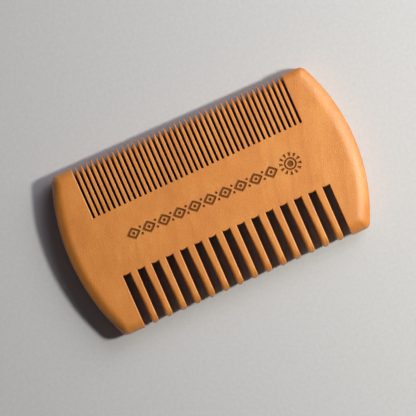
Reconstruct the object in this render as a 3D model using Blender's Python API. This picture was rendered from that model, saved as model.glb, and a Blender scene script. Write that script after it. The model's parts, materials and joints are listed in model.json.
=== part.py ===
"""Double-sided wooden beard comb, modelled in Blender.

The comb is one flat piece of pear wood with a row of fine teeth on its +Y edge, a row of
wide teeth on its -Y edge, a plain spine between the rows and a rounded guard at each end.
It lies flat with its underside at z = 0 and its middle on the z axis, long side along X.

The wood is modelled as one solid for each region that a hand or a hair meets by itself:
the spine, the two end guards and every tooth. Each solid is convex or nearly so, which
leaves the gaps between the teeth open, and a hairline parts it from its neighbours.
"""

import math

import bmesh
import bpy

MM = 0.001

# Whole comb
LENGTH = 100.0 * MM
WIDTH = 56.5 * MM
THICKNESS = 9.0 * MM
END_SAGITTA = {-1: 6.0 * MM, 1: 6.75 * MM}   # how far the end at -X and the one at +X bow out
END_MIDDLE_Y = 1.0 * MM         # both ends bow out furthest a little above the middle
CORNER_RADIUS = 2.2 * MM        # where an end meets a long edge

# Edge moulding that runs round the whole blank, the tips of the teeth included. The two ends
# have an upright side, a rounded edge, a bevel and a soft shoulder up to the flat face; the
# two long edges are rounder.
EDGE_WIDTH = 3.45 * MM          # from the outline in to the flat face
EDGE_RADIUS = 0.9 * MM
BEVEL_TILT = math.radians(30.0)
SHOULDER_RADIUS = 3.3 * MM
LONG_EDGE_RADIUS = 3.6 * MM
EDGE_STEPS = 2
SHOULDER_STEPS = 3

# Fine row, on the +Y edge
FINE_TEETH = 40
FINE_PITCH = 1.83 * MM
FINE_SLOT = 0.74 * MM
FINE_ROOT_Y = 11.1 * MM         # root line at the middle of the row
FINE_ROOT_RISE = 1.0 * MM       # rise of the root line from the left of the row to the right
FINE_TIP_LENGTH = 3.3 * MM
FINE_TIP_WIDTH = 0.36 * MM
FINE_EDGE_BREAK = 0.15 * MM
FINE_TIP_STEPS = 4

# Wide row, on the -Y edge
WIDE_TEETH = 14
WIDE_PITCH = 5.02 * MM
WIDE_SLOT = 2.5 * MM            # at the root; the teeth narrow towards their tips
WIDE_ROOT_Y = -10.1 * MM
WIDE_NECK_WIDTH = 2.34 * MM     # width of a wide tooth where its rounded tip begins
WIDE_TIP_LENGTH = 1.6 * MM
WIDE_TIP_WIDTH = 0.9 * MM
WIDE_EDGE_BREAK = 0.25 * MM
WIDE_TIP_STEPS = 4

HAIRLINE = 0.3 * MM             # parting between neighbouring solids
SPINE_EDGE_BREAK = 0.2 * MM
CORNER_STEPS = 4
END_STEPS = 14

WOOD_COLOUR = (0.62, 0.27, 0.085, 1.0)
WOOD_ROUGHNESS = 0.45

# Worked out from the dimensions above
BEVEL_START = EDGE_RADIUS * (1 - math.sin(BEVEL_TILT))
BEVEL_END = EDGE_WIDTH - SHOULDER_RADIUS * math.sin(BEVEL_TILT)
BEVEL_TOP = THICKNESS / 2 - SHOULDER_RADIUS * (1 - math.cos(BEVEL_TILT))
BEVEL_FOOT = BEVEL_TOP - (BEVEL_END - BEVEL_START) * math.tan(BEVEL_TILT)
FINE_TOOTH = FINE_PITCH - FINE_SLOT
WIDE_TOOTH = WIDE_PITCH - WIDE_SLOT
FINE_ROW_HALF = (FINE_TEETH * FINE_PITCH + FINE_SLOT) / 2
WIDE_ROW_HALF = (WIDE_TEETH * WIDE_PITCH + WIDE_SLOT) / 2
FINE_ROW_X = WIDE_ROW_HALF - FINE_ROW_HALF   # the two rows end in line at +X


def clear_scene():
    for obj in list(bpy.data.objects):
        bpy.data.objects.remove(obj, do_unlink=True)


def make_wood():
    wood = bpy.data.materials.new("pear_wood")
    wood.use_nodes = True
    shader = wood.node_tree.nodes["Principled BSDF"]
    shader.inputs["Base Color"].default_value = WOOD_COLOUR
    shader.inputs["Roughness"].default_value = WOOD_ROUGHNESS
    shader.inputs["Metallic"].default_value = 0.0
    return wood


def bevelled_half_height(inset):
    """Half the thickness at an end of the comb, at a distance inside the blank's outline."""
    if inset >= EDGE_WIDTH:
        return THICKNESS / 2
    if inset > BEVEL_END:
        tilt = math.asin((EDGE_WIDTH - inset) / SHOULDER_RADIUS)
        return THICKNESS / 2 - SHOULDER_RADIUS * (1 - math.cos(tilt))
    if inset > BEVEL_START:
        return BEVEL_FOOT + (inset - BEVEL_START) * math.tan(BEVEL_TILT)
    tilt = math.asin(1 - inset / EDGE_RADIUS)
    return BEVEL_FOOT - EDGE_RADIUS * (math.cos(BEVEL_TILT) - math.cos(tilt))


def rounded_half_height(inset):
    """Half the thickness along the tips of the teeth, at a distance inside the outline."""
    if inset >= EDGE_WIDTH:
        return THICKNESS / 2
    tilt = math.asin((EDGE_WIDTH - inset) / LONG_EDGE_RADIUS)
    return THICKNESS / 2 - LONG_EDGE_RADIUS * (1 - math.cos(tilt))


def half_height(inset, roundness):
    """Half the thickness, from the bevelled moulding at 0 to the rounded one at 1."""
    bevelled = bevelled_half_height(inset)
    return bevelled + (rounded_half_height(inset) - bevelled) * roundness


def moulding_insets():
    """Insets of the rings that follow the moulding, from the outline to the flat face."""
    insets = []
    for step in range(EDGE_STEPS + 1):
        tilt = math.pi / 2 + (BEVEL_TILT - math.pi / 2) * step / EDGE_STEPS
        insets.append(EDGE_RADIUS * (1 - math.sin(tilt)))
    insets.append((BEVEL_START + BEVEL_END) / 2)
    for step in range(SHOULDER_STEPS + 1):
        tilt = BEVEL_TILT * (1 - step / SHOULDER_STEPS)
        insets.append(EDGE_WIDTH - SHOULDER_RADIUS * math.sin(tilt))
    return insets


def add_solid(name, rings, parent, location, wood, smooth_angle=30.0):
    """Bridge a stack of closed rings of points into one solid object with capped ends."""
    bm = bmesh.new()
    loops = []
    for ring in rings:
        verts = [bm.verts.new(point) for point in ring]
        edges = [bm.edges.new((a, b)) for a, b in zip(verts, verts[1:] + verts[:1])]
        loops.append((verts, edges))
    for (_, lower), (_, upper) in zip(loops, loops[1:]):
        bmesh.ops.bridge_loops(bm, edges=lower + upper)
    for verts in (loops[0][0], loops[-1][0]):
        bm.faces.new(verts)
    bmesh.ops.recalc_face_normals(bm, faces=bm.faces)

    mesh = bpy.data.meshes.new(name)
    bm.to_mesh(mesh)
    bm.free()
    mesh.materials.append(wood)
    mesh.shade_smooth()
    mesh.set_sharp_from_angle(angle=math.radians(smooth_angle))

    obj = bpy.data.objects.new(name, mesh)
    bpy.context.scene.collection.objects.link(obj)
    obj.parent = parent
    obj.location = location
    return obj


def arc(centre_x, centre_y, radius, start, end, steps):
    """Points along an arc, both ends included."""
    points = []
    for step in range(steps + 1):
        angle = start + (end - start) * step / steps
        points.append((centre_x + radius * math.cos(angle), centre_y + radius * math.sin(angle)))
    return points


def guard_outline(side, inset, inner_side):
    """Plan of an end guard, drawn in from the blank's outline by inset, as (x, y, roundness).

    side is +1 for the guard at +X and -1 for the one at -X. inner_side lists the corners of
    the guard's side towards the teeth, from the wide row's edge to the fine row's.
    """
    long_edge = WIDTH / 2 - inset
    sagitta = END_SAGITTA[side]
    bow_radius = ((WIDTH / 2) ** 2 + sagitta ** 2) / (2 * sagitta)
    end_radius = bow_radius - inset
    end_centre = LENGTH / 2 - bow_radius
    corner = max(CORNER_RADIUS - inset, HAIRLINE)
    corner_y = long_edge - corner
    reach = end_radius - corner
    low, high = (math.asin((y - END_MIDDLE_Y) / reach) for y in (-corner_y, corner_y))
    low_x = end_centre + reach * math.cos(low)
    high_x = end_centre + reach * math.cos(high)

    points = arc(low_x, -corner_y, corner, -math.pi / 2, low, CORNER_STEPS)
    points += arc(end_centre, END_MIDDLE_Y, end_radius, low, high, END_STEPS)[1:-1]
    points += arc(high_x, corner_y, corner, high, math.pi / 2, CORNER_STEPS)
    outer = []
    for index, (x, y) in enumerate(points):
        from_long_edge = min(index, len(points) - 1 - index)
        outer.append((side * x, y, max(0.0, 1 - from_long_edge / CORNER_STEPS)))
    inner = [(x, min(max(y, -long_edge), long_edge), 1.0) for x, y in inner_side]
    return outer + inner[::-1]


def add_end_guard(name, side, parent, wood):
    """Rounded end of the comb, whose inner side is the outer wall of both rows' last slots."""
    fine_wall = FINE_ROW_X + side * FINE_ROW_HALF
    wide_wall = side * WIDE_ROW_HALF
    inner_side = [(wide_wall, -WIDTH / 2), (fine_wall, WIDTH / 2)]
    if abs(fine_wall - wide_wall) > HAIRLINE:
        root = fine_root(fine_wall)
        inner_side[1:1] = [(wide_wall, root), (fine_wall, root)]
    insets = moulding_insets()
    rings = []
    for inset in reversed(insets):
        plan = guard_outline(side, inset, inner_side)
        rings.append([(x, y, -half_height(inset, roundness)) for x, y, roundness in plan])
    for inset in insets:
        plan = guard_outline(side, inset, inner_side)
        rings.append([(x, y, half_height(inset, roundness)) for x, y, roundness in plan])
    return add_solid(name, rings, parent, (0.0, 0.0, 0.0), wood)


def fine_root(x):
    """Y of the fine row's root line at x."""
    return FINE_ROOT_Y + FINE_ROOT_RISE * (x - FINE_ROW_X) / (2 * FINE_ROW_HALF)


def tooth_section(width, height_half, edge_break):
    """Cross-section of a tooth: a rectangle with its four long edges taken off."""
    side = width / 2
    cut = min(edge_break, side / 2)
    return [
        (side, height_half - cut), (side - cut, height_half),
        (cut - side, height_half), (-side, height_half - cut),
        (-side, cut - height_half), (cut - side, -height_half),
        (side - cut, -height_half), (side, cut - height_half),
    ]


def add_tooth(name, location, direction, length, root_width, neck_width, tip, parent, wood):
    """One tooth, from its root at the object's origin to its tip along direction * Y.

    tip is (length of the rounded tip, width of its blunt end, edge break, steps).
    """
    tip_length, tip_width, edge_break, steps = tip
    stations = [(0.0, root_width)]
    if tip_length < EDGE_WIDTH:
        reach = length - EDGE_WIDTH
        stations.append((reach, root_width + (neck_width - root_width) * reach / length))
    for step in range(steps + 1):
        turn = math.pi / 2 * step / steps
        y = length - tip_length * (1 - math.sin(turn))
        width = tip_width + (neck_width - tip_width) * math.cos(turn)
        stations.append((y, width))
    rings = []
    for y, width in stations:
        section = tooth_section(width, rounded_half_height(length - y), edge_break)
        rings.append([(x, direction * y, z) for x, z in section])
    return add_solid(name, rings, parent, location, wood)


def add_fine_teeth(parent, wood):
    tip = (FINE_TIP_LENGTH, FINE_TIP_WIDTH, FINE_EDGE_BREAK, FINE_TIP_STEPS)
    for index in range(FINE_TEETH):
        x = FINE_ROW_X + (index - (FINE_TEETH - 1) / 2) * FINE_PITCH
        root = fine_root(x) + HAIRLINE
        name = f"fine_tooth_{index + 1:02d}"
        add_tooth(name, (x, root, 0.0), 1, WIDTH / 2 - root, FINE_TOOTH, FINE_TOOTH, tip,
                  parent, wood)


def add_wide_teeth(parent, wood):
    tip = (WIDE_TIP_LENGTH, WIDE_TIP_WIDTH, WIDE_EDGE_BREAK, WIDE_TIP_STEPS)
    root = WIDE_ROOT_Y - HAIRLINE
    for index in range(WIDE_TEETH):
        x = (index - (WIDE_TEETH - 1) / 2) * WIDE_PITCH
        name = f"wide_tooth_{index + 1:02d}"
        add_tooth(name, (x, root, 0.0), -1, WIDTH / 2 + root, WIDE_TOOTH, WIDE_NECK_WIDTH, tip,
                  parent, wood)


def add_spine(parent, wood):
    """Plain middle of the comb, between the two root lines and the two guards."""
    right = WIDE_ROW_HALF - HAIRLINE
    left = -right
    rings = []
    for z, draw_in in (
        (-THICKNESS / 2, SPINE_EDGE_BREAK),
        (-THICKNESS / 2 + SPINE_EDGE_BREAK, 0.0),
        (THICKNESS / 2 - SPINE_EDGE_BREAK, 0.0),
        (THICKNESS / 2, SPINE_EDGE_BREAK),
    ):
        rings.append([
            (left + draw_in, WIDE_ROOT_Y + draw_in, z),
            (right - draw_in, WIDE_ROOT_Y + draw_in, z),
            (right - draw_in, fine_root(right) - draw_in, z),
            (left + draw_in, fine_root(left) - draw_in, z),
        ])
    return add_solid("spine", rings, parent, (0.0, 0.0, 0.0), wood)


def build_comb():
    clear_scene()
    wood = make_wood()
    blank = bpy.data.objects.new("comb_middle", None)
    blank.location = (0.0, 0.0, THICKNESS / 2)
    bpy.context.scene.collection.objects.link(blank)

    add_spine(blank, wood)
    add_end_guard("left_end_guard", -1, blank, wood)
    add_end_guard("right_end_guard", 1, blank, wood)
    add_fine_teeth(blank, wood)
    add_wide_teeth(blank, wood)


build_comb()
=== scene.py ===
"""Looks of the double-sided wooden beard comb.

The comb is one continuous piece of pear wood, so one mesh stands for all the CAD regions.
Its shape is worked out in millimetres about the comb's mid-plane, from the CAD nodes' boxes,
and moved into the frame at the end. A brown burnt-in band of plain lozenges and a sun, cut
into the upper face, stands where such a comb carries its maker's engraving.
"""

import json
import math
import random

import bmesh
import bpy
import numpy as np
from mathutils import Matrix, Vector
from mathutils.geometry import delaunay_2d_cdt

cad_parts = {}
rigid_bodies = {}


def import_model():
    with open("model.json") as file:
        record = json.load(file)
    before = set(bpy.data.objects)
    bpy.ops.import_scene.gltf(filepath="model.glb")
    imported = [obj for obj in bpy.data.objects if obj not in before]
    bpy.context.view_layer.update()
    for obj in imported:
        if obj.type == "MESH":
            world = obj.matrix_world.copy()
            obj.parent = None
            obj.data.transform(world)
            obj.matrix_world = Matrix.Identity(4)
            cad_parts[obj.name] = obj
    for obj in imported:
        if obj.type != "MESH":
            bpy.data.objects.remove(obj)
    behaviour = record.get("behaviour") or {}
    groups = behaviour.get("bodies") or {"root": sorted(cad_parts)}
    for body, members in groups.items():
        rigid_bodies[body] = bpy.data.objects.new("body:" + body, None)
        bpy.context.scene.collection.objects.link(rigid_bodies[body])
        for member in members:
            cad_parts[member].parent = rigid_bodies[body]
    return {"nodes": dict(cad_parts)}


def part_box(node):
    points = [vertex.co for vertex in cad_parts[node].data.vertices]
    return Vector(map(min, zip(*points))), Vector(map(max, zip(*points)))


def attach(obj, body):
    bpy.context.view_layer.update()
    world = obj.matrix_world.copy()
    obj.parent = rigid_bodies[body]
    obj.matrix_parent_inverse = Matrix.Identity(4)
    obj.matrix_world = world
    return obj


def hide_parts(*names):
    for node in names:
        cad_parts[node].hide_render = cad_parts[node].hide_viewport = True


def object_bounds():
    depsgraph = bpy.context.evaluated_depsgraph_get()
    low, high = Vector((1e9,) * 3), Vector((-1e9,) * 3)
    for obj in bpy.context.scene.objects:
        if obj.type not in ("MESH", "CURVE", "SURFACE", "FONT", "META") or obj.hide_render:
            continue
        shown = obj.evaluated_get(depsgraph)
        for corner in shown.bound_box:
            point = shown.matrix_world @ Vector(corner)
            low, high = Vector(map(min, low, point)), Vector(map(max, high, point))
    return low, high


for leftover in list(bpy.data.objects):
    bpy.data.objects.remove(leftover, do_unlink=True)
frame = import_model()
CAD_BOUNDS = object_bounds()

MM = 0.001
RANDOM_SEED = 11

# Blank: outline and edge moulding, in millimetres
HAIRLINE = 0.3              # parting between the CAD solids, closed again here
END_SAGITTA = {-1: 6.0, 1: 6.75}   # how far the end at -X and the one at +X bow out
END_MIDDLE_Y = 1.0          # where they bow out furthest
CORNER_RADIUS = 2.2
CORNER_LEAST = 0.3
CORNER_SOFTENING = 0.35     # how much the corner's radius grows for each mm inwards
CORNER_STEPS = 8
END_STEPS = 48
# Edge moulding as bends (radius, steeper tilt, flatter tilt), up to the flat face
NOSE = (0.9, math.radians(85.4), math.radians(32.0))
END_BENDS = {
    -1: (NOSE, (22.0, math.radians(32.0), math.radians(28.0)), (3.6, math.radians(28.0), 0.0)),
    1: (NOSE, (10.0, math.radians(32.0), math.radians(28.0)), (7.6, math.radians(28.0), 0.0)),
}
LONG_EDGE_BENDS = ((3.3, math.radians(70.0), 0.0),)
# The right guard's long edges, at +Y and -Y, were sanded less and more than the rest
SHARP_EDGE_BENDS = (
    (0.8, math.radians(80.0), math.radians(52.0)),
    (2.7, math.radians(52.0), 0.0),
)
SOFT_EDGE_BENDS = ((4.8, math.radians(62.0), 0.0),)
BEND_STEPS = 60             # points that a bend's profile is worked out at
NOSE_RINGS = 6
BEVEL_RINGS = 4
SHOULDER_RINGS = 12
SIDE_RINGS = 3              # rings on the slight belly of the upright side
BLEND_STEPS = 20            # points over which one moulding runs into the other
SUPPORT_RING = 0.18         # flat ring just inside the moulding
SHARP_ANGLE = math.radians(40.0)

# Edges of the slots
ROUND_STEPS = 5
EDGE_LIMIT = 0.96           # widest rounding, as a share of the tooth's half width
SUPPORT_SHARE = 0.3         # flat strip beside an edge rounding, as a share of what is left
SANDED_REACH = 2.0          # how far in from the outline sanding has taken the saw's marks off
SLOT_FAN_STEPS = 4
SLOT_END_STEPS = 8
GUARD_EASE = 0.45           # rounding in plan of a guard's corner at the open end of a slot
GUARD_EASE_LENGTH = 0.9
GUARD_ROUND = 0.28
GUARD_ROUND_LENGTH = 4.0    # over this much of a guard's wall the rounding grows to twice that
GUARD_STATIONS = (7.5, 11.0, 14.0)
GUARD_EDGE_STEPS = 9

FINE_ROW = {
    "prefix": "fine_tooth_", "up": 1, "round_left": (0.16, 0.5), "round_right": (0.14, 0.4),
    "round_length": 6.0, "tip_length": 3.3, "tip_power": 0.58, "neck_share": 1.0,
    "bulge": 0.04, "short": 0.12, "stations": (7.5, 11.0, 14.5),
}
WIDE_ROW = {
    "prefix": "wide_tooth_", "up": -1, "round_left": (0.45, 1.6), "round_right": (0.25, 0.45),
    "round_length": 15.5, "tip_length": 1.5, "tip_power": 0.45, "neck_share": 0.935,
    "bulge": 0.24, "short": 0.1, "stations": (5.7, 6.5, 7.5, 9.0, 11.0, 13.2, 15.5),
}
WIDTH_SPREAD = 0.015        # tooth to tooth variation, as a share of the width
PLACE_SPREAD = 0.02
ROOT_SPREAD = 0.05

# Engraved band
CUT_DEPTH = 0.36
CUT_RUN = 0.08              # how far the cut's walls lean in
SCORCH_REACH = 0.2          # browning round the cut
RIM_SCORCH = 0.55           # how burnt the cut's rim is, beside 1 at its bottom
BAND_Y = 1.0
BAND_LEFT = -27.6           # middle of the first lozenge
LOZENGES = 10
LOZENGE_PITCH = 5.38
LOZENGE_HALF = (2.35, 2.0)
LOZENGE_SOFTNESS = 1.12     # 1 would be straight sides and sharp corners
LOZENGE_STEPS = 40
LOZENGE_STROKE = 0.64
LOZENGE_DOT = (0.5, 18)     # radius and number of corners, as in the dots and disc below
BETWEEN_DOT = (0.4, 16)
BETWEEN_RISE = 1.15
SUN_X = 27.6
SUN_DISC = (1.0, 32)
SUN_RING = (1.55, 2.05)
SUN_RING_STEPS = 48
SUN_RAYS = 12
SUN_RAY = (2.5, 3.6, 0.2, 0.42)   # inner radius, outer radius, half widths there
MITRE_LIMIT = 0.4           # keeps a sharp corner from running far out when a line is moved
FLAT_TOLERANCE = 1e-6       # millimetres within which points of the flat are one


def millimetres(corners):
    return [np.array(corner) / MM for corner in corners]


LOW, HIGH = millimetres(CAD_BOUNDS)
HALF_LENGTH = (HIGH[0] - LOW[0]) / 2
HALF_WIDTH = (HIGH[1] - LOW[1]) / 2
HALF_T = (HIGH[2] - LOW[2]) / 2


# ---------------------------------------------------------------- edge moulding

def moulding_profile(bends):
    """Insets from the outline and half heights there, from the nose to the flat face."""
    rise = sum(radius * (math.cos(end) - math.cos(start)) for radius, start, end in bends)
    start = bends[0][1]
    side = ((HALF_T - rise) / math.cos(start), math.pi / 2, start)
    insets = [0.0]
    heights = [0.0]
    for radius, start, end in (side, *bends):
        inset, height = insets[-1], heights[-1]
        for step in range(1, BEND_STEPS + 1):
            tilt = start + (end - start) * step / BEND_STEPS
            insets.append(inset + radius * (math.sin(start) - math.sin(tilt)))
            heights.append(height + radius * (math.cos(tilt) - math.cos(start)))
    return insets, heights


def moulding_rings(profile):
    """Insets of the rings that the moulding is built with."""
    rings = [0.0]
    for bend, count in enumerate((SIDE_RINGS, NOSE_RINGS, BEVEL_RINGS, SHOULDER_RINGS)):
        for ring in range(1, count + 1):
            rings.append(profile[0][round(BEND_STEPS * (bend + ring / count))])
    return rings


END_PROFILES = {side: moulding_profile(bends) for side, bends in END_BENDS.items()}
LONG_EDGE_PROFILE = moulding_profile(LONG_EDGE_BENDS)
GUARD_EDGE_PROFILES = {
    (-1, 1): LONG_EDGE_PROFILE,
    (-1, -1): LONG_EDGE_PROFILE,
    (1, 1): moulding_profile(SHARP_EDGE_BENDS),
    (1, -1): moulding_profile(SOFT_EDGE_BENDS),
}
RINGS = moulding_rings(END_PROFILES[1])
STATIONS = RINGS + [RINGS[-1] + SUPPORT_RING]


def half_height(inset, profile=LONG_EDGE_PROFILE):
    return float(np.interp(inset, *profile))


# ---------------------------------------------------------------- mesh assembly

class Shell:
    """A surface above the comb's mid-plane, its mirror image below, and the walls between.

    Points are (x, y, half height, sawn, scorched), the last two being how much a place shows
    the saw, together with painted shade on the slots' walls, and the burn. Points at the same
    place become one vertex.
    """

    PLACES = 4    # decimals of a millimetre that tell two points apart

    def __init__(self):
        self.bm = bmesh.new()
        self.sawn_and_shaded = self.bm.verts.layers.float.new("sawn_and_shaded")
        self.scorched = self.bm.verts.layers.float.new("scorched")
        self.verts = {}

    def vert(self, point, side):
        x, y, height, sawn_and_shaded, scorched = point
        z = side * height
        key = (round(x, self.PLACES), round(y, self.PLACES), round(z, self.PLACES) + 0.0)
        if key not in self.verts:
            vert = self.bm.verts.new((x * MM, y * MM, (z + HALF_T) * MM))
            vert[self.sawn_and_shaded] = sawn_and_shaded
            vert[self.scorched] = scorched
            self.verts[key] = vert
        return self.verts[key]

    def face(self, verts):
        corners = [v for v, after in zip(verts, verts[1:] + verts[:1]) if v is not after]
        if len(set(corners)) > 2:
            self.bm.faces.new(corners)

    def sheet(self, points, side):
        self.face([self.vert(point, side) for point in points])

    def grid(self, rows):
        """Quads between rows of equally many points, above and below."""
        for row, after in zip(rows, rows[1:]):
            for column in range(len(row) - 1):
                ring = [row[column], row[column + 1], after[column + 1], after[column]]
                self.sheet(ring, 1)
                self.sheet(ring, -1)

    def wall(self, points):
        """The upright wall under a line of points, down to its mirror image."""
        for a, b in zip(points, points[1:]):
            self.face([self.vert(a, 1), self.vert(b, 1), self.vert(b, -1), self.vert(a, -1)])

    def finish(self, name):
        bmesh.ops.recalc_face_normals(self.bm, faces=self.bm.faces)
        mesh = bpy.data.meshes.new(name)
        self.bm.to_mesh(mesh)
        self.bm.free()
        mesh.shade_smooth()
        mesh.set_sharp_from_angle(angle=SHARP_ANGLE)
        obj = bpy.data.objects.new(name, mesh)
        bpy.context.scene.collection.objects.link(obj)
        return obj


def rounding(radius, room):
    """(distance from the wall, drop, sawn) across a rounded edge and its support strip; sawn also
    sets the painted shade on the slots' walls.
    """
    samples = []
    for step in range(ROUND_STEPS + 1):
        turn = math.pi / 2 * step / ROUND_STEPS
        share = step / ROUND_STEPS
        samples.append((radius * (1 - math.cos(turn)), radius * (1 - math.sin(turn)), 1 - share))
    samples.append((radius + (room - radius) * SUPPORT_SHARE, 0.0, 0.0))
    return samples


def lowered(inset, drop, profile=LONG_EDGE_PROFILE):
    """Half height at an inset, with an edge rounding that shrinks as the wood thins."""
    return half_height(inset, profile) * (1 - drop / HALF_T)


# ---------------------------------------------------------------- rows of teeth

def read_row(row, draw):
    """Each tooth's place and size from its CAD box, with the spread of handwork."""
    names = sorted(name for name in frame["nodes"] if name.startswith(row["prefix"]))
    teeth = []
    for name in names:
        low, high = millimetres(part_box(name))
        up = row["up"]
        root = low[1] - HAIRLINE if up > 0 else high[1] + HAIRLINE
        half = (high[0] - low[0]) / 2 * (1 + draw.uniform(-WIDTH_SPREAD, WIDTH_SPREAD))
        middle = (low[0] + high[0]) / 2 + draw.uniform(-PLACE_SPREAD, PLACE_SPREAD)
        short = draw.uniform(0.0, row["short"])
        teeth.append({"x": middle, "half": half, "root": root, "short": short})
    return teeth


def tooth_half_width(row, tooth, reach, length):
    """Half width of a tooth at a distance back from its tip."""
    half = tooth["half"] * (row["neck_share"] + (1 - row["neck_share"]) * reach / length)
    if reach < row["tip_length"]:
        half *= (1 - (1 - reach / row["tip_length"]) ** 2) ** row["tip_power"]
    return half


def edge_radius(row, rounds, reach, half):
    """Rounding of a tooth's edge, grown by wear from its root to its tip."""
    share = max(0.0, 1 - reach / row["round_length"])
    return min(rounds[0] + (rounds[1] - rounds[0]) * share, EDGE_LIMIT * half)


def add_tooth(shell, row, tooth, roots):
    """One tooth from its tip to its roots, which are the slots' ends to its left and right."""
    up = row["up"]
    tip = up * (HALF_WIDTH - tooth["short"])
    length = abs(tip - tooth["root"])
    rows = []
    for reach in list(STATIONS) + list(row["stations"]) + [length]:
        half = tooth_half_width(row, tooth, reach, length)
        inset = reach + tooth["short"]
        sanded = min(1.0, reach / SANDED_REACH)
        sides = []
        for side, name, root in ((-1, "round_left", roots[0]), (1, "round_right", roots[1])):
            radius = edge_radius(row, row[name], reach, half)
            y = root if reach == length else tip - up * reach
            line = []
            for away, drop, sawn_and_shaded in rounding(radius, half):
                x = tooth["x"] + side * (half - away)
                line.append((x, y, lowered(inset, drop), sawn_and_shaded * sanded, 0.0))
            sides.append(line)
        rows.append(sides[0] + sides[1][::-1])
    shell.grid(rows)
    shell.wall([points[0] for points in rows])
    shell.wall([points[-1] for points in rows])


def add_slot_end(shell, row, left, right):
    """The wood round the closed end of a slot, between its two side walls.

    left and right are the walls' roots: their x, y and edge samples.
    Returns the outer line of points, from left to right, which borders the flat.
    """
    up = row["up"]
    half = (right["x"] - left["x"]) / 2
    middle = (right["x"] + left["x"]) / 2
    base = []
    slope = 2 * row["bulge"] / half
    lean = math.atan(slope)
    fan = [(math.pi / 2 - lean) * step / SLOT_FAN_STEPS for step in range(SLOT_FAN_STEPS)]
    for turn in fan:
        base.append((left["x"], left["y"], (-math.cos(turn), -up * math.sin(turn))))
    for step in range(SLOT_END_STEPS + 1):
        across = -1 + 2 * step / SLOT_END_STEPS
        y = left["y"] + (right["y"] - left["y"]) * step / SLOT_END_STEPS
        y += up * row["bulge"] * (1 - across ** 2)
        tilt = math.atan(-slope * across)
        base.append((middle + across * half, y, (math.sin(tilt), -up * math.cos(tilt))))
    for turn in fan[::-1]:
        base.append((right["x"], right["y"], (math.cos(turn), -up * math.sin(turn))))
    rows = []
    for index, (x, y, normal) in enumerate(base):
        share = index / (len(base) - 1)
        points = []
        for near, far in zip(left["edge"], right["edge"]):
            away, drop, sawn_and_shaded = (a + (b - a) * share for a, b in zip(near, far))
            place = (x + normal[0] * away, y + normal[1] * away)
            points.append((*place, HALF_T - drop, sawn_and_shaded, 0.0))
        rows.append(points)
    shell.grid(rows)
    shell.wall([points[0] for points in rows])
    return [points[-1] for points in rows]


# ---------------------------------------------------------------- end guards

def guard_outline(side, inset):
    """Plan of one end, from the top long edge round to the bottom one, drawn in by inset."""
    sagitta = END_SAGITTA[side]
    bow_radius = (HALF_WIDTH ** 2 + sagitta ** 2) / (2 * sagitta)
    centre = HALF_LENGTH - bow_radius
    corner = max(CORNER_RADIUS - inset, 0.0) + CORNER_LEAST + CORNER_SOFTENING * inset
    corner_y = HALF_WIDTH - inset - corner
    reach = bow_radius - inset - corner
    high, low = (math.asin((y - END_MIDDLE_Y) / reach) for y in (corner_y, -corner_y))
    bends = (
        (centre + reach * math.cos(high), corner_y, corner, math.pi / 2, high, CORNER_STEPS),
        (centre, END_MIDDLE_Y, reach + corner, high, low, END_STEPS),
        (centre + reach * math.cos(low), -corner_y, corner, low, -math.pi / 2, CORNER_STEPS),
    )
    points = []
    for x, y, radius, start, end, steps in bends:
        for step in range(min(len(points), 1), steps + 1):
            turn = start + (end - start) * step / steps
            points.append((side * (x + radius * math.cos(turn)), y + radius * math.sin(turn)))
    return points


def guard_wall(side, wall_x, reach):
    """X of a guard's wall beside the last slot, eased outwards at the slot's open end."""
    if reach >= GUARD_EASE_LENGTH:
        return wall_x
    share = 1 - reach / GUARD_EASE_LENGTH
    return wall_x + side * GUARD_EASE * (1 - math.sqrt(1 - share ** 2))


def guard_edge(reach, room):
    grown = GUARD_ROUND * max(0.0, 1 - reach / GUARD_ROUND_LENGTH)
    return rounding(GUARD_ROUND + grown, room)


def add_guard(shell, side, walls, roots, room):
    """One end guard. walls and roots hold x and y at the fine row and then the wide row.

    Returns the moulding's inner ring, and the flat's border down each wall to the root.
    """
    rings = []
    for inset in STATIONS:
        outline = guard_outline(side, inset)
        sanded = min(1.0, inset / SANDED_REACH)
        ends = []
        for wall_x, up in zip(walls, (1, -1)):
            x = guard_wall(side, wall_x, inset)
            y = up * (HALF_WIDTH - inset)
            line = []
            for away, drop, sawn_and_shaded in guard_edge(inset, room):
                height = lowered(inset, drop, GUARD_EDGE_PROFILES[side, up])
                line.append((x + side * away, y, height, sawn_and_shaded * sanded, 0.0))
            ends.append(line)
        edges = []
        for line, corner_x, up in zip(ends, (outline[0][0], outline[-1][0]), (1, -1)):
            height = half_height(inset, GUARD_EDGE_PROFILES[side, up])
            start = line[-1]
            run = []
            for step in range(1, GUARD_EDGE_STEPS):
                share = step / GUARD_EDGE_STEPS
                run.append((start[0] + (corner_x - start[0]) * share, start[1], height, 0.0, 0.0))
            edges.append(run)
        bowed = []
        for index, (x, y) in enumerate(outline):
            way = min(1.0, min(index, len(outline) - 1 - index) / BLEND_STEPS)
            roundness = 1 - way * way * (3 - 2 * way)
            up = 1 if index < len(outline) / 2 else -1
            bevelled = half_height(inset, END_PROFILES[side])
            rounded = half_height(inset, GUARD_EDGE_PROFILES[side, up])
            bowed.append((x, y, bevelled + (rounded - bevelled) * roundness, 0.0, 0.0))
        rings.append(ends[0] + edges[0] + bowed + edges[1][::-1] + ends[1][::-1])
    shell.grid(rings)

    borders = []
    for wall_x, root, up in zip(walls, roots, (1, -1)):
        reach_root = HALF_WIDTH - up * root
        rows = []
        for reach in (STATIONS[-1], *GUARD_STATIONS, reach_root):
            y = up * (HALF_WIDTH - reach)
            line = []
            for away, drop, sawn_and_shaded in guard_edge(reach, room):
                line.append((wall_x + side * away, y, HALF_T - drop, sawn_and_shaded, 0.0))
            rows.append(line)
        shell.grid(rows)
        near = 0 if up > 0 else -1
        shell.wall([ring[near] for ring in rings] + [line[0] for line in rows[1:]])
        borders.append([line[-1] for line in rows])
    return rings[-1], borders


# ---------------------------------------------------------------- engraved band

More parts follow.
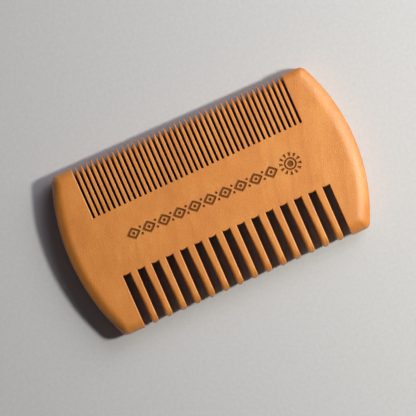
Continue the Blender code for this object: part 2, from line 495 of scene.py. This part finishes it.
def inset_loop(points, distance):
    """A closed line moved to its left by distance: inwards if it runs anticlockwise."""
    count = len(points)
    moved = []
    for index in range(count):
        before, here, after = (np.array(points[(index + step) % count]) for step in (-1, 0, 1))
        first = (here - before) / np.linalg.norm(here - before)
        second = (after - here) / np.linalg.norm(after - here)
        normals = np.array((-first[1], first[0])), np.array((-second[1], second[0]))
        middle = normals[0] + normals[1]
        middle = middle / np.linalg.norm(middle)
        moved.append(tuple(here + middle * distance / max(MITRE_LIMIT, float(middle @ normals[0]))))
    return moved


def circle(x, y, radius, steps):
    turns = (2 * math.pi * step / steps for step in range(steps))
    return [(x + radius * math.cos(turn), y + radius * math.sin(turn)) for turn in turns]


def lozenge(x, y, half_x, half_y):
    """A lozenge with slightly soft corners and sides."""
    points = []
    power = LOZENGE_SOFTNESS
    for step in range(LOZENGE_STEPS):
        turn = 2 * math.pi * step / LOZENGE_STEPS
        c, s = math.cos(turn), math.sin(turn)
        size = (abs(c) ** power + abs(s) ** power) ** (-1 / power)
        points.append((x + half_x * size * c, y + half_y * size * s))
    return points


def band_shapes():
    """The band's cuts, each as (outer line, inner line or None)."""
    shapes = []
    for index in range(LOZENGES):
        x = BAND_LEFT + index * LOZENGE_PITCH
        half_x, half_y = LOZENGE_HALF
        shrink = LOZENGE_STROKE * math.hypot(half_x, half_y)
        inner = lozenge(x, BAND_Y, half_x - shrink / half_y, half_y - shrink / half_x)
        shapes.append((lozenge(x, BAND_Y, half_x, half_y), inner))
        shapes.append((circle(x, BAND_Y, *LOZENGE_DOT), None))
        if index < LOZENGES - 1:
            for rise in (-BETWEEN_RISE, BETWEEN_RISE):
                middle = x + LOZENGE_PITCH / 2
                shapes.append((circle(middle, BAND_Y + rise, *BETWEEN_DOT), None))
    shapes.append((circle(SUN_X, BAND_Y, *SUN_DISC), None))
    ring_in, ring_out = (circle(SUN_X, BAND_Y, radius, SUN_RING_STEPS) for radius in SUN_RING)
    shapes.append((ring_out, ring_in))
    inner, outer, inner_half, outer_half = SUN_RAY
    for index in range(SUN_RAYS):
        turn = 2 * math.pi * (index + 0.5) / SUN_RAYS
        along = np.array((math.cos(turn), math.sin(turn)))
        across = np.array((-along[1], along[0]))
        middle = np.array((SUN_X, BAND_Y))
        corners = (
            middle + inner * along + inner_half * across,
            middle + inner * along - inner_half * across,
            middle + outer * along - outer_half * across,
            middle + outer * along + outer_half * across,
        )
        shapes.append(([tuple(corner) for corner in corners], None))
    return shapes


def band_loops():
    """Closed lines of the engraving as (points, depth, scorched)."""
    loops = []
    for outer, inner in band_shapes():
        loops.append((outer, 0.0, RIM_SCORCH))
        loops.append((inset_loop(outer, CUT_RUN), CUT_DEPTH, 1.0))
        loops.append((inset_loop(outer, -SCORCH_REACH), 0.0, 0.0))
        if inner is not None:
            loops.append((inner, 0.0, RIM_SCORCH))
            loops.append((inset_loop(inner, -CUT_RUN), CUT_DEPTH, 1.0))
            loops.append((inset_loop(inner, SCORCH_REACH), 0.0, 0.0))
    return loops


# ---------------------------------------------------------------- flat face

def add_flat(shell, border, side, loops):
    """Triangulates the flat inside border on one side of the comb, round the cut loops."""
    points = list(border)
    edges = [(index, (index + 1) % len(border)) for index in range(len(border))]
    for loop, depth, scorched in loops:
        first = len(points)
        points += [(x, y, HALF_T - depth, 0.0, scorched) for x, y in loop]
        count = len(loop)
        edges += [(first + index, first + (index + 1) % count) for index in range(count)]
    flat = [Vector(point[:2]) for point in points]
    outline = [list(range(len(border)))]
    _, _, faces, origins, _, within = delaunay_2d_cdt(
        flat, edges, outline, 0, FLAT_TOLERANCE, True)
    for face, outlines in zip(faces, within):
        if outlines:
            shell.sheet([points[origins[index][0]] for index in face], side)


def build_comb():
    draw = random.Random(RANDOM_SEED)
    shell = Shell()
    rows = [(row, read_row(row, draw)) for row in (FINE_ROW, WIDE_ROW)]
    guards = {}
    left_guard = millimetres(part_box("left_end_guard"))
    right_guard = millimetres(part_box("right_end_guard"))
    guard_room = rows[0][1][0]["half"]
    first, second = (millimetres(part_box(f"fine_tooth_{index:02d}")) for index in (1, 2))
    fine_slot = second[0][0] - first[1][0]
    walls = {
        -1: (first[0][0] - fine_slot, left_guard[1][0]),
        1: (right_guard[0][0], right_guard[0][0]),
    }

    slot_roots = []
    for row, teeth in rows:
        roots = [teeth[0]["root"]]
        roots += [(a["root"] + b["root"]) / 2 for a, b in zip(teeth, teeth[1:])]
        roots.append(teeth[-1]["root"])
        slot_roots.append([root + draw.uniform(-ROOT_SPREAD, ROOT_SPREAD) for root in roots])

    for side in (-1, 1):
        end = 0 if side < 0 else -1
        roots = (slot_roots[0][end], slot_roots[1][end])
        guards[side] = add_guard(shell, side, walls[side], roots, guard_room)

    ends = []
    for (row, teeth), roots, which in zip(rows, slot_roots, (0, 1)):
        for index, tooth in enumerate(teeth):
            add_tooth(shell, row, tooth, roots[index:index + 2])
        guard_samples = guard_edge(HALF_WIDTH, guard_room)
        lines = []
        for index in range(len(teeth) + 1):
            y = roots[index]
            if index == 0:
                left = {"x": walls[-1][which], "y": y, "edge": guard_samples}
            else:
                tooth = teeth[index - 1]
                samples = rounding(row["round_right"][0], tooth["half"])
                left = {"x": tooth["x"] + tooth["half"], "y": y, "edge": samples}
            if index == len(teeth):
                right = {"x": walls[1][which], "y": y, "edge": guard_samples}
            else:
                tooth = teeth[index]
                samples = rounding(row["round_left"][0], tooth["half"])
                right = {"x": tooth["x"] - tooth["half"], "y": y, "edge": samples}
            lines.append(add_slot_end(shell, row, left, right))
        ends.append([point for line in lines for point in line])

    inner = ROUND_STEPS + 1     # the sample of a wall's edge at which the flat begins
    border = []
    ring, borders = guards[-1]
    border += ring[inner:len(ring) - inner]
    border += borders[1][1:-1]
    border += ends[1]
    ring, borders = guards[1]
    border += borders[1][-2:0:-1]
    border += ring[inner:len(ring) - inner][::-1]
    border += borders[0][1:-1]
    border += ends[0][::-1]
    border += guards[-1][1][0][-2:0:-1]
    loops = band_loops()
    add_flat(shell, border, 1, loops)
    add_flat(shell, border, -1, [])
    return shell.finish("comb")


# ---------------------------------------------------------------- materials

GRAIN_TILT = math.radians(17.0)     # the board was cut with its grain a little off the teeth
# Noises in the wood: their size in millimetres across the grain and along it, then detail,
# roughness, distortion and shift
NOISES = {
    "figure": (11.0, 26.0, 2.0, 0.5, 0.6, 0.0),
    "cloud": (3.2, 7.0, 3.0, 0.55, 0.3, 7.0),
    "fleck": (0.9, 2.2, 2.0, 0.55, 0.0, 6.0),
    "mottle": (0.36, 0.62, 2.0, 0.55, 0.0, 3.0),
    "fibre": (0.16, 3.2, 3.0, 0.6, 0.0, 5.0),
    "pore": (0.12, 0.7, 1.0, 0.5, 0.0, 9.0),
    "presence": (14.0, 22.0, 1.0, 0.5, 0.0, 2.0),
    "wander": (9.0, 34.0, 2.0, 0.5, 0.0, 4.0),
    "soot": (0.22, 0.5, 3.0, 0.6, 0.0, 1.0),
}
WOOD_TONES = (
    (0.0, (0.455, 0.120, 0.012)),
    (0.5, (0.635, 0.210, 0.032)),
    (1.0, (0.80, 0.345, 0.084)),
)
# How much each noise and the growth lines move the tone along WOOD_TONES
TONE_BASE = 0.225
TONE_FIGURE = 0.55
TONE_SHARES = {"cloud": 0.38, "fleck": 0.20, "mottle": 0.40, "fibre": 0.30}
TONE_GROWTH = -0.15
GROWTH_SPACING = 5.2        # millimetres between growth lines
GROWTH_WANDER = 9.0         # how far they stray
GROWTH_RISE = (0.6, 0.94)   # shares of the spacing over which a line darkens slowly
GROWTH_FALL = (1.0, 0.95)   # and over which it ends abruptly
GROWTH_FADE = 0.0045        # how much more they show for each mm towards +X
GROWTH_PRESENCE = (0.48, 0.66)
PORE_SPAN = (0.66, 0.76)
PORE_STRENGTH = 0.22
PORE_COLOUR = (0.30, 0.09, 0.02)
# Saw-cut walls of the slots: rougher and a little darker from the saw, their colour darkened much
# further as painted shade that makes the slots between the teeth read dark
SAWN_AND_SHADED_SPAN = (0.75, 1.0)
SAWN_AND_SLOT_SHADE_STRENGTH = 0.7
SAWN_AND_SLOT_SHADE_COLOUR = (0.22, 0.065, 0.016)
SAW_MARKS = (300.0, 2600.0, 90.0)   # marks per metre along x, y and z
BURN_LEAST = 0.72           # how evenly the burn took: this much, and the soot noise's share
BURN_SOOT = 0.5
BURNT_TONES = ((0.2, (0.085, 0.020, 0.002)), (0.8, (0.27, 0.080, 0.008)))
ROUGHNESS = {"base": 0.40, "cloud": 0.14, "sawn_and_shaded": 0.22, "scorched": 0.60}
RELIEF = {"fibre": 0.2, "mottle": 2.0, "pores": -0.3, "sawn_and_shaded": 1.0, "soot": 1.2}
RELIEF_HEIGHT = 0.00004
OIL_COAT = 0.5
OIL_MOTTLE = 1.2            # how unevenly the oil soaked in
COAT_ROUGHNESS = 0.55
WOOD_SPECULAR = 0.6

CARD_TONES = ((0.3, (0.52, 0.51, 0.59)), (0.7, (0.56, 0.55, 0.63)))
CARD_TOOTH = 900.0
CARD_ROUGHNESS = 0.85
CARD_SPECULAR = 0.2


def add_node(tree, kind, settings=None, **inputs):
    """A shader node. Inputs are named with underscores for spaces; sockets given are linked."""
    node = tree.nodes.new("ShaderNode" + kind)
    for name, value in (settings or {}).items():
        setattr(node, name, value)
    for name, value in inputs.items():
        key = int(name[1:]) if name[1:].isdigit() else name.replace("_", " ")
        if isinstance(value, bpy.types.NodeSocket):
            tree.links.new(value, node.inputs[key])
        else:
            node.inputs[key].default_value = value
    return node


def math_node(tree, operation, a, b=0.0, c=0.0, clamp=False):
    settings = {"operation": operation, "use_clamp": clamp}
    return add_node(tree, "Math", settings, _0=a, _1=b, _2=c).outputs[0]


def ramp(tree, value, stops):
    node = add_node(tree, "ValToRGB", None, Fac=value)
    elements = node.color_ramp.elements
    while len(elements) < len(stops):
        elements.new(0.5)
    for element, (position, colour) in zip(elements, stops):
        element.position = position
        element.color = (*colour, 1.0)
    return node.outputs["Color"]


def step_up(tree, value, start, end):
    """0 below start, 1 above end, smooth between."""
    settings = {"interpolation_type": "SMOOTHSTEP"}
    node = add_node(tree, "MapRange", settings, Value=value, From_Min=start, From_Max=end)
    return node.outputs["Result"]


def mixed(tree, factor, a, b):
    node = add_node(tree, "Mix", {"data_type": "RGBA"}, Factor=factor)
    for socket, value in ((node.inputs[6], a), (node.inputs[7], b)):
        if isinstance(value, bpy.types.NodeSocket):
            tree.links.new(value, socket)
        else:
            socket.default_value = (*value, 1.0)
    return node.outputs[2]


def attribute(tree, name):
    return add_node(tree, "Attribute", {"attribute_name": name}).outputs["Fac"]


def make_pear_wood():
    """Oiled pear wood: even and fine, with faint growth lines, fibres and small pores, and painted
    shade darkening the saw-cut walls of the slots.
    """
    material = bpy.data.materials.new("pear_wood_oiled")
    material.use_nodes = True
    tree = material.node_tree
    tree.nodes.clear()

    def times(a, b, clamp=False):
        return math_node(tree, "MULTIPLY", a, b, clamp=clamp)

    def plus(total, share, part, clamp=False):
        """total, and part in the given share on top of it."""
        return math_node(tree, "MULTIPLY_ADD", part, share, total, clamp=clamp)

    def about_half(value):
        return math_node(tree, "SUBTRACT", value, 0.5)

    place = add_node(tree, "TexCoord").outputs["Object"]
    settings = {"vector_type": "POINT"}
    in_mm = tuple([1 / MM] * 3)
    grain = add_node(tree, "Mapping", settings, Vector=place, Scale=in_mm,
                     Rotation=(0.0, 0.0, GRAIN_TILT)).outputs["Vector"]

    def grain_noise(across, along, detail, rough, distortion, shift):
        size = (1 / across, 1 / along, 1 / across)
        scaled = add_node(tree, "VectorMath", {"operation": "MULTIPLY"}, _0=grain, _1=size)
        moved = add_node(tree, "VectorMath", {"operation": "ADD"}, _0=scaled.outputs[0],
                         _1=(shift, shift, 0.0))
        noise_node = add_node(tree, "TexNoise", None, Vector=moved.outputs[0], Scale=1.0,
                              Detail=detail, Roughness=rough, Distortion=distortion)
        return noise_node.outputs["Fac"]

    noise = {name: grain_noise(*numbers) for name, numbers in NOISES.items()}

    split = add_node(tree, "SeparateXYZ", None, Vector=grain)
    across = math_node(tree, "ADD", split.outputs["X"], times(noise["wander"], GROWTH_WANDER))
    ring = math_node(tree, "FRACT", times(across, 1 / GROWTH_SPACING))
    line = times(step_up(tree, ring, *GROWTH_RISE), step_up(tree, ring, *GROWTH_FALL))
    presence = plus(noise["presence"], GROWTH_FADE, split.outputs["X"])
    line = times(line, step_up(tree, presence, *GROWTH_PRESENCE))

    tone = plus(TONE_BASE, TONE_FIGURE, noise["figure"])
    for name, share in TONE_SHARES.items():
        tone = plus(tone, share, about_half(noise[name]))
    tone = plus(tone, TONE_GROWTH, line)
    colour = ramp(tree, tone, WOOD_TONES)

    pores = step_up(tree, noise["pore"], *PORE_SPAN)
    colour = mixed(tree, times(pores, PORE_STRENGTH), colour, PORE_COLOUR)

    # Slot walls: the saw's darker tint plus painted shade deepening the slots between the teeth
    sawn_and_shaded_face = step_up(tree, attribute(tree, "sawn_and_shaded"), *SAWN_AND_SHADED_SPAN)
    colour = mixed(tree, times(sawn_and_shaded_face, SAWN_AND_SLOT_SHADE_STRENGTH), colour, SAWN_AND_SLOT_SHADE_COLOUR)

    scorched = attribute(tree, "scorched")
    soot = noise["soot"]
    burn = times(scorched, plus(BURN_LEAST, BURN_SOOT, soot), clamp=True)
    colour = mixed(tree, burn, colour, ramp(tree, soot, BURNT_TONES))

    rough = plus(ROUGHNESS["base"], ROUGHNESS["cloud"], noise["cloud"])
    rough = plus(rough, ROUGHNESS["sawn_and_shaded"], sawn_and_shaded_face)
    rough = plus(rough, ROUGHNESS["scorched"], scorched, clamp=True)

    streaks = add_node(tree, "Mapping", settings, Vector=place, Scale=SAW_MARKS).outputs[0]
    saw_marks = add_node(tree, "TexNoise", None, Vector=streaks, Scale=1.0, Detail=2.0)
    relief = times(noise["fibre"], RELIEF["fibre"])
    relief = plus(relief, RELIEF["mottle"], noise["mottle"])
    relief = plus(relief, RELIEF["pores"], pores)
    relief = plus(relief, RELIEF["sawn_and_shaded"], times(saw_marks.outputs["Fac"], sawn_and_shaded_face))
    relief = plus(relief, RELIEF["soot"], times(soot, burn))
    bump = add_node(tree, "Bump", None, Strength=1.0, Distance=RELIEF_HEIGHT, Height=relief)

    oil = plus(OIL_COAT, OIL_MOTTLE, about_half(noise["mottle"]))
    oil = times(oil, math_node(tree, "SUBTRACT", 1.0, burn))
    shader = add_node(tree, "BsdfPrincipled", None, Base_Color=colour, Roughness=rough,
                      Coat_Weight=oil, Normal=bump.outputs["Normal"])
    shader.inputs["Specular IOR Level"].default_value = WOOD_SPECULAR
    shader.inputs["Coat Roughness"].default_value = COAT_ROUGHNESS
    add_node(tree, "OutputMaterial", None, Surface=shader.outputs["BSDF"])
    return material


def make_floor_material():
    """Matt pale card with a hardly visible tooth."""
    material = bpy.data.materials.new("pale_card")
    material.use_nodes = True
    tree = material.node_tree
    shader = tree.nodes["Principled BSDF"]
    place = add_node(tree, "TexCoord").outputs["Object"]
    tooth = add_node(tree, "TexNoise", None, Vector=place, Scale=CARD_TOOTH, Detail=3.0)
    shade = ramp(tree, tooth.outputs["Fac"], CARD_TONES)
    tree.links.new(shade, shader.inputs["Base Color"])
    shader.inputs["Roughness"].default_value = CARD_ROUGHNESS
    shader.inputs["Specular IOR Level"].default_value = CARD_SPECULAR
    return material


# ---------------------------------------------------------------- floor, lights and camera

FLOOR_SIZE = 30.0           # metres
FLOOR_DROP = 0.00004        # keeps the floor just clear of the underside
# Lights as (name, distance, size, power, turn from +X towards +Y, rise, colour)
KEY = ("key_light", 0.42, 0.055, 1.48, math.radians(-12.0), math.radians(50.0),
       (0.98, 1.0, 0.80))
SIDE_FILL = ("side_fill", 0.9, 0.75, 3.2, math.radians(10.0), math.radians(36.0),
             (1.0, 0.97, 0.86))
BACK_FILL = ("back_fill", 0.9, 0.6, 2.3, math.radians(38.0), math.radians(37.0),
             (1.0, 0.98, 0.96))
WORLD_COLOUR = (0.80, 0.76, 0.73)
WORLD_STRENGTH = 0.07

CAMERA_TURN = math.radians(-24.0)
CAMERA_LENS = 400.0
CAMERA_SENSOR = 36.0
CAMERA_CLIP = (0.01, 100.0)
FRAME_WIDTH = 0.1339        # what the picture's side spans at the comb's upper face
AIM = (-0.0024, -0.0013)


def make_floor():
    bm = bmesh.new()
    bmesh.ops.create_grid(bm, x_segments=1, y_segments=1, size=FLOOR_SIZE / 2)
    mesh = bpy.data.meshes.new("floor")
    bm.to_mesh(mesh)
    bm.free()
    floor = bpy.data.objects.new("floor", mesh)
    floor.location.z = LOW[2] * MM - FLOOR_DROP
    mesh.materials.append(make_floor_material())
    bpy.context.scene.collection.objects.link(floor)


def add_area_light(name, distance, size, power, turn, rise, colour):
    """A round lamp aimed at the middle of the comb."""
    light = bpy.data.lights.new(name, "AREA")
    light.shape = "DISK"
    light.size = size
    light.energy = power
    light.color = colour
    middle = Vector(((LOW + HIGH) / 2 * MM).tolist())
    towards = Vector((
        math.cos(rise) * math.cos(turn),
        math.cos(rise) * math.sin(turn),
        math.sin(rise),
    ))
    lamp = bpy.data.objects.new(name, light)
    lamp.location = middle + towards * distance
    lamp.rotation_euler = (-towards).to_track_quat("-Z", "Y").to_euler()
    lamp.visible_camera = False
    bpy.context.scene.collection.objects.link(lamp)


def make_lights():
    for lamp in (KEY, SIDE_FILL, BACK_FILL):
        add_area_light(*lamp)

    world = bpy.data.worlds.new("studio")
    world.use_nodes = True
    background = world.node_tree.nodes["Background"]
    background.inputs["Color"].default_value = (*WORLD_COLOUR, 1.0)
    background.inputs["Strength"].default_value = WORLD_STRENGTH
    bpy.context.scene.world = world


def make_camera():
    """Looks straight down, turned so that the comb lies slanting across the picture."""
    data = bpy.data.cameras.new("camera")
    data.lens = CAMERA_LENS
    data.sensor_width = CAMERA_SENSOR
    data.clip_start, data.clip_end = CAMERA_CLIP
    camera = bpy.data.objects.new("camera", data)
    distance = FRAME_WIDTH * CAMERA_LENS / CAMERA_SENSOR
    camera.location = (AIM[0], AIM[1], HIGH[2] * MM + distance)
    camera.rotation_euler = (0.0, 0.0, CAMERA_TURN)
    bpy.context.scene.collection.objects.link(camera)
    bpy.context.scene.camera = camera


bpy.context.scene.view_settings.view_transform = "Standard"
make_camera()
make_floor()
make_lights()

comb = build_comb()
comb.data.materials.append(make_pear_wood())
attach(comb, "root")
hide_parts(*sorted(frame["nodes"]))
